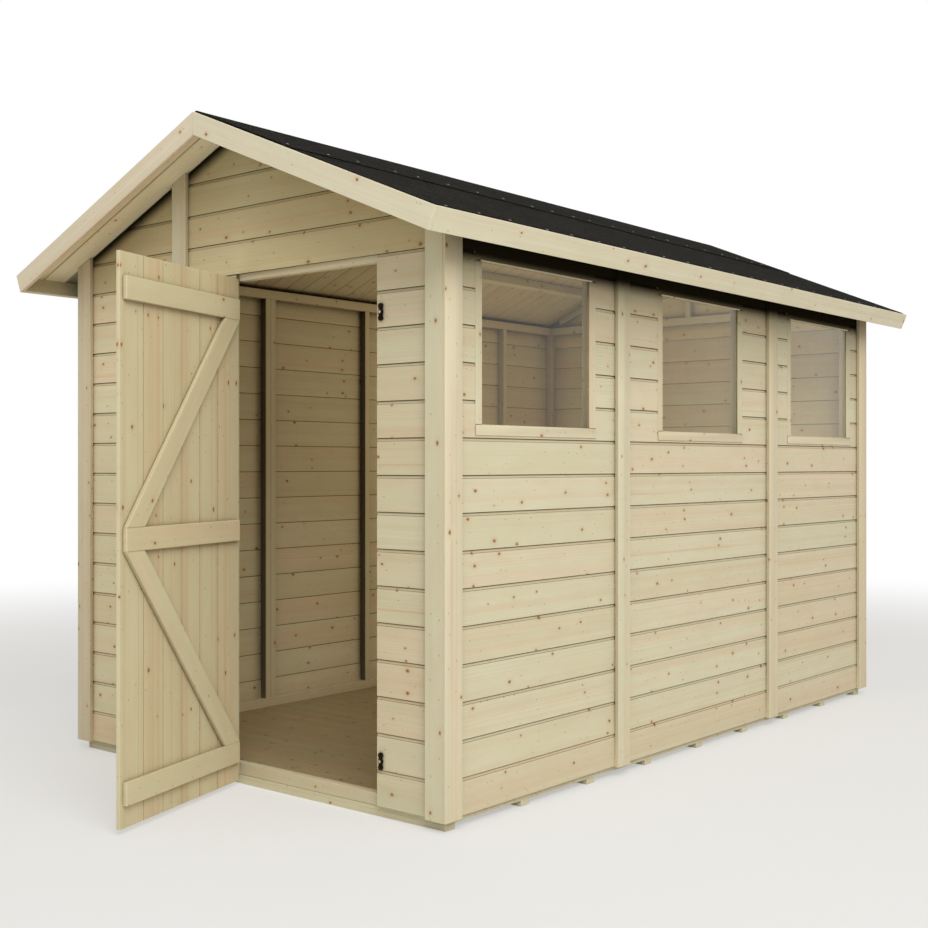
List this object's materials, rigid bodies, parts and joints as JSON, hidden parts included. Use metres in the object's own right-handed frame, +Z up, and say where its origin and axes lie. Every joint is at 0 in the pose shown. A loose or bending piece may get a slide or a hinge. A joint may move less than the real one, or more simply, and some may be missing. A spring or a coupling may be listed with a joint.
{
  "type": "garden shed",
  "caption": "Timber garden shed with shiplap walls, an outward door with turn buttons, windows along one side and a felted apex roof.",
  "frame": {"origin": "middle of the plan over the corner strips, on the ground under the middle floor bearer", "axes": "+Z up, -Y out of the front wall with the door, +X out of the window wall, +Y along the length to the back"},
  "size_m": [2.092, 3.8445, 2.2353],
  "materials": {
    "wall_wood": "planed, pressure treated, unpainted",
    "trim_wood": "planed, pressure treated, unpainted",
    "door_wood": "planed, pressure treated, unpainted",
    "frame_wood": "sawn, pressure treated, unpainted",
    "floor_wood": "planed, unpainted",
    "roof_wood": "planed, unpainted",
    "roof_felt": "mineral felt, rough",
    "window_glass": "clear",
    "hinge_steel": "black, satin",
    "button_bronze": "dark bronze, satin",
    "bright_screws": "zinc plated"
  },
  "bodies": {
    "shed": {"back_barge_board_left": "trim_wood", "back_barge_board_right": "trim_wood", "back_corner_strips": "trim_wood", "back_gable": "wall_wood", "back_wall": "wall_wood", "button_screws": "bright_screws", "door_head_rail": "frame_wood", "door_sill": "frame_wood", "end_joint_strips": "trim_wood", "end_wall_rails": "frame_wood", "end_wall_studs": "frame_wood", "fascia_left": "trim_wood", "fascia_right": "trim_wood", "floor_bearers": "floor_wood", "floor_boards": "floor_wood", "front_barge_board_left": "trim_wood", "front_barge_board_right": "trim_wood", "front_corner_strips": "trim_wood", "front_gable": "wall_wood", "front_panel_hinge_side": "wall_wood", "front_panel_latch_side": "wall_wood", "front_panel_left": "wall_wood", "gable_rafters": "frame_wood", "hinge_plates": "hinge_steel", "left_panel_back": "wall_wood", "left_panel_front": "wall_wood", "left_panel_middle": "wall_wood", "ridge_felt_cap": "roof_felt", "right_panel_back": "wall_wood", "right_panel_front": "wall_wood", "right_panel_middle": "wall_wood", "roof_boards_left": "roof_wood", "roof_boards_right": "roof_wood", "roof_felt_left": "roof_felt", "roof_felt_right": "roof_felt", "roof_purlins": "frame_wood", "side_joint_strips": "trim_wood", "side_wall_rails": "frame_wood", "side_wall_studs": "frame_wood", "window_frame_back": "trim_wood", "window_frame_front": "trim_wood", "window_frame_middle": "trim_wood", "window_glass_back": "window_glass", "window_glass_front": "window_glass", "window_glass_middle": "window_glass"},
    "door": {"door_boards": "door_wood", "door_braces": "door_wood", "door_ledges": "door_wood", "hinge_straps": "hinge_steel"},
    "upper_turn_button": {"upper_turn_button": "button_bronze"},
    "lower_turn_button": {"lower_turn_button": "button_bronze"}
  },
  "joints": [
    {"name": "door_hinge", "type": "hinge", "parent": "shed", "child": "door", "pos_m": [-0.0205, -1.517, 0.86], "axis": [0, 0, 1], "range_deg": [-92.8, 72.2]},
    {"name": "upper_button_turn", "type": "hinge", "parent": "shed", "child": "upper_turn_button", "pos_m": [0.655, -1.514, 1.5455], "axis": [0, 1, 0], "range_deg": [0, 90]},
    {"name": "lower_button_turn", "type": "hinge", "parent": "shed", "child": "lower_turn_button", "pos_m": [0.655, -1.514, 0.176], "axis": [0, 1, 0], "range_deg": [0, 90]}
  ]
}
